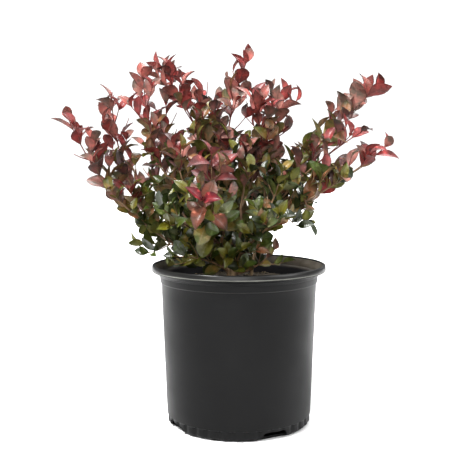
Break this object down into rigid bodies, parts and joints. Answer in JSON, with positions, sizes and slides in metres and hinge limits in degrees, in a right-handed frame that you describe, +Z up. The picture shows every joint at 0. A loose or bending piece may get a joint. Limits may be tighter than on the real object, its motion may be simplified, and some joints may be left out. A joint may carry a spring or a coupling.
{
  "type": "potted dwarf crepe myrtle",
  "caption": "Bushy young shrub with upright shoots of wine-red and dark green leaves on a short brown trunk, standing in a plain black nursery pot of soil.",
  "frame": {"origin": "centre of the pot's flat underside, on the surface that it stands on", "axes": "+Z up along the pot's axis; the side that the picture shows faces -Y, with its right at +X"},
  "size_m": [0.4302, 0.3573, 0.49],
  "materials": {
    "pot": "satin",
    "soil": "matte",
    "bark": "matte",
    "young_bark": "matte",
    "wine_leaves": "satin",
    "bronze_leaves": "satin",
    "green_leaves": "satin"
  },
  "bodies": {
    "root": {"bough_back": "young_bark", "bough_back_left": "young_bark", "bough_back_right": "young_bark", "bough_front": "young_bark", "bough_front_right": "young_bark", "bough_inner_right": "young_bark", "bough_left": "young_bark", "bough_left_back": "young_bark", "bough_left_front": "young_bark", "bough_right": "young_bark", "bough_right_low": "young_bark", "bough_top": "young_bark", "bough_top_left": "young_bark", "leaves_back": "bronze_leaves", "leaves_back_high": "wine_leaves", "leaves_back_left": "bronze_leaves", "leaves_back_left_high": "bronze_leaves", "leaves_back_right": "bronze_leaves", "leaves_back_right_high": "bronze_leaves", "leaves_far_left": "wine_leaves", "leaves_far_right": "wine_leaves", "leaves_front": "wine_leaves", "leaves_front_left": "bronze_leaves", "leaves_front_right": "green_leaves", "leaves_front_right_high": "bronze_leaves", "leaves_inner_back": "wine_leaves", "leaves_inner_front_right": "wine_leaves", "leaves_inner_left": "wine_leaves", "leaves_inner_right": "wine_leaves", "leaves_left": "wine_leaves", "leaves_low_back": "green_leaves", "leaves_low_back_left": "green_leaves", "leaves_low_back_right": "green_leaves", "leaves_low_front": "green_leaves", "leaves_low_front_left": "green_leaves", "leaves_low_front_right": "green_leaves", "leaves_low_left": "green_leaves", "leaves_low_right": "green_leaves", "leaves_right": "wine_leaves", "leaves_right_drooping": "green_leaves", "leaves_right_low": "wine_leaves", "leaves_rosette": "bronze_leaves", "leaves_top": "wine_leaves", "leaves_top_back": "wine_leaves", "leaves_top_left": "wine_leaves", "leaves_top_right": "wine_leaves", "leaves_upper_left": "wine_leaves", "leaves_upper_left_back": "wine_leaves", "leaves_upper_right": "wine_leaves", "pot": "pot", "side_stem": "bark", "soil": "soil", "trunk": "bark"}
  },
  "joints": []
}
